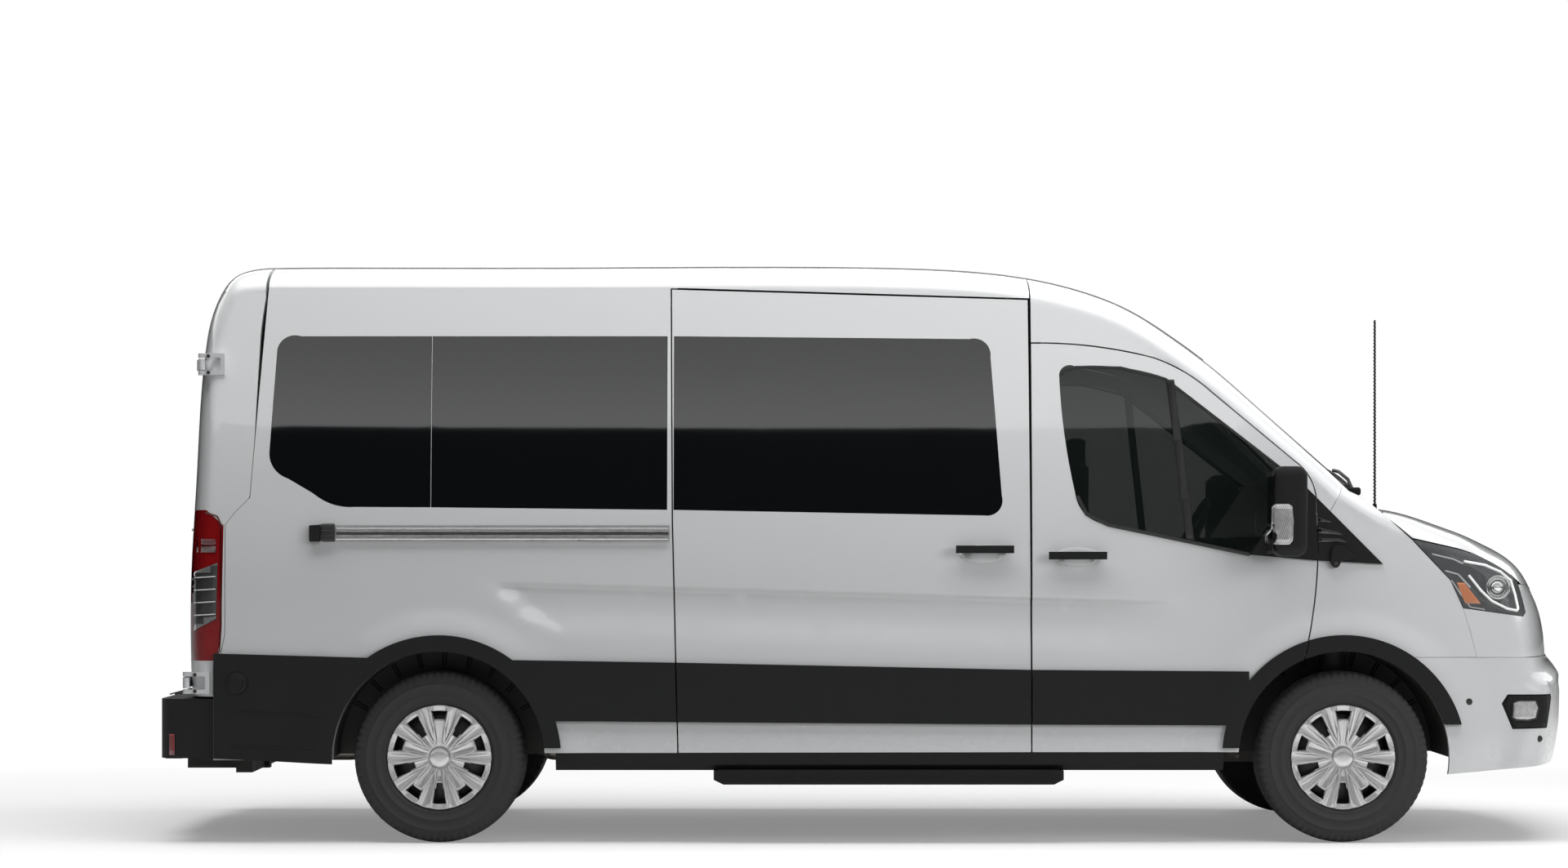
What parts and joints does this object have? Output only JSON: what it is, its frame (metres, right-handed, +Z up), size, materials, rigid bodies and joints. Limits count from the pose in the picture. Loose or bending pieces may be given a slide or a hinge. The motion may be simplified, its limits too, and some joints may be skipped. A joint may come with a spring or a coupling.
{
  "type": "minibus",
  "caption": "Long-wheelbase passenger van with raised roof, dark side glass, black lower cladding, sliding side door, rear doors, steered front wheels and opening doors and hood.",
  "frame": {"origin": "on the ground at the middle of the overall box", "axes": "+X forward, +Y to the vehicle's left, +Z up"},
  "size_m": [5.9817, 2.474, 2.4402],
  "materials": {
    "paint": "glossy clearcoat",
    "side_glass": "dark privacy glass",
    "front_glass": "lightly tinted",
    "head_lamp": "clear lens",
    "tail_lamp": "red lens",
    "black_plastic": "grained",
    "bright_metal": "brushed",
    "dark_metal": "satin black",
    "cast_metal": "as cast",
    "exhaust_metal": "dull",
    "cabin_plastic": "soft grain",
    "seat_cloth": "woven",
    "tyre": "matte",
    "wheel_silver": "silver satin"
  },
  "bodies": {
    "body": {"side_panels": "paint", "sliding_door": "paint", "roof": "paint", "cab_shell": "paint", "rear_corners": "paint", "front_fenders": "paint", "front_panel": "paint", "front_bumper": "paint", "rear_hinges": "paint", "side_glass": "side_glass", "windscreen": "front_glass", "head_lamps": "head_lamp", "tail_lamps": "tail_lamp", "grille": "black_plastic", "rear_bumper": "black_plastic", "cladding": "black_plastic", "sills": "black_plastic", "antenna": "black_plastic", "slide_track": "bright_metal", "floor": "dark_metal", "body_posts": "dark_metal", "chassis": "dark_metal", "engine_block": "cast_metal", "rear_axle": "dark_metal", "exhaust": "exhaust_metal", "fuel_tank": "black_plastic", "front_axle": "dark_metal", "dashboard": "cabin_plastic", "steering_wheel": "cabin_plastic", "front_seats": "seat_cloth", "rear_seats": "seat_cloth"},
    "front_door_right": {"front_door_right": "paint", "front_door_glass_right": "front_glass", "front_door_trim_right": "black_plastic"},
    "front_door_left": {"front_door_left": "paint", "front_door_glass_left": "front_glass", "front_door_trim_left": "black_plastic"},
    "rear_door_right": {"rear_door_right": "paint", "rear_door_glass_right": "side_glass"},
    "rear_door_left": {"rear_door_left": "paint", "rear_door_glass_left": "side_glass"},
    "hood": {"hood": "paint"},
    "knuckle_right": {"knuckle_right": "cast_metal"},
    "knuckle_left": {"knuckle_left": "cast_metal"},
    "wheel_front_right": {"wheel_front_right": "wheel_silver", "tyre_front_right": "tyre"},
    "wheel_front_left": {"wheel_front_left": "wheel_silver", "tyre_front_left": "tyre"},
    "wheel_rear_right": {"wheel_rear_right": "wheel_silver", "tyre_rear_right": "tyre"},
    "wheel_rear_left": {"wheel_rear_left": "wheel_silver", "tyre_rear_left": "tyre"}
  },
  "joints": [
    {"name": "steer_right", "type": "hinge", "parent": "body", "child": "knuckle_right", "pos_m": [1.9675, -0.801, 0.356], "axis": [0, 0, 1], "range_deg": [-35, 35]},
    {"name": "steer_left", "type": "hinge", "parent": "body", "child": "knuckle_left", "pos_m": [1.9675, 0.801, 0.356], "axis": [0, 0, 1], "range_deg": [-35, 35]},
    {"name": "spin_front_right", "type": "hinge", "parent": "knuckle_right", "child": "wheel_front_right", "pos_m": [1.9675, -0.866, 0.356], "axis": [0, 1, 0], "continuous": true},
    {"name": "spin_front_left", "type": "hinge", "parent": "knuckle_left", "child": "wheel_front_left", "pos_m": [1.9675, 0.866, 0.356], "axis": [0, 1, 0], "continuous": true},
    {"name": "spin_rear_right", "type": "hinge", "parent": "body", "child": "wheel_rear_right", "pos_m": [-1.7825, -0.8715, 0.356], "axis": [0, 1, 0], "continuous": true},
    {"name": "spin_rear_left", "type": "hinge", "parent": "body", "child": "wheel_rear_left", "pos_m": [-1.7825, 0.8715, 0.356], "axis": [0, 1, 0], "continuous": true},
    {"name": "front_door_right_swing", "type": "hinge", "parent": "body", "child": "front_door_right", "pos_m": [1.864, -1.03, 1.1], "axis": [0, 0, 1], "range_deg": [0, 68]},
    {"name": "front_door_left_swing", "type": "hinge", "parent": "body", "child": "front_door_left", "pos_m": [1.864, 1.03, 1.1], "axis": [0, 0, -1], "range_deg": [0, 68]},
    {"name": "rear_door_right_swing", "type": "hinge", "parent": "body", "child": "rear_door_right", "pos_m": [-2.828, -1.006, 0.666], "axis": [0.0404, 0.0543, 0.9977], "range_deg": [0, 237]},
    {"name": "rear_door_left_swing", "type": "hinge", "parent": "body", "child": "rear_door_left", "pos_m": [-2.828, 1.006, 0.666], "axis": [-0.0404, 0.0543, -0.9977], "range_deg": [0, 237]},
    {"name": "hood_lift", "type": "hinge", "parent": "body", "child": "hood", "pos_m": [2.175, 0, 1.384], "axis": [0, -1, 0], "range_deg": [0, 55]}
  ],
  "couplings": [
    {"joint": "steer_left", "follows": "steer_right", "ratio": 1}
  ]
}
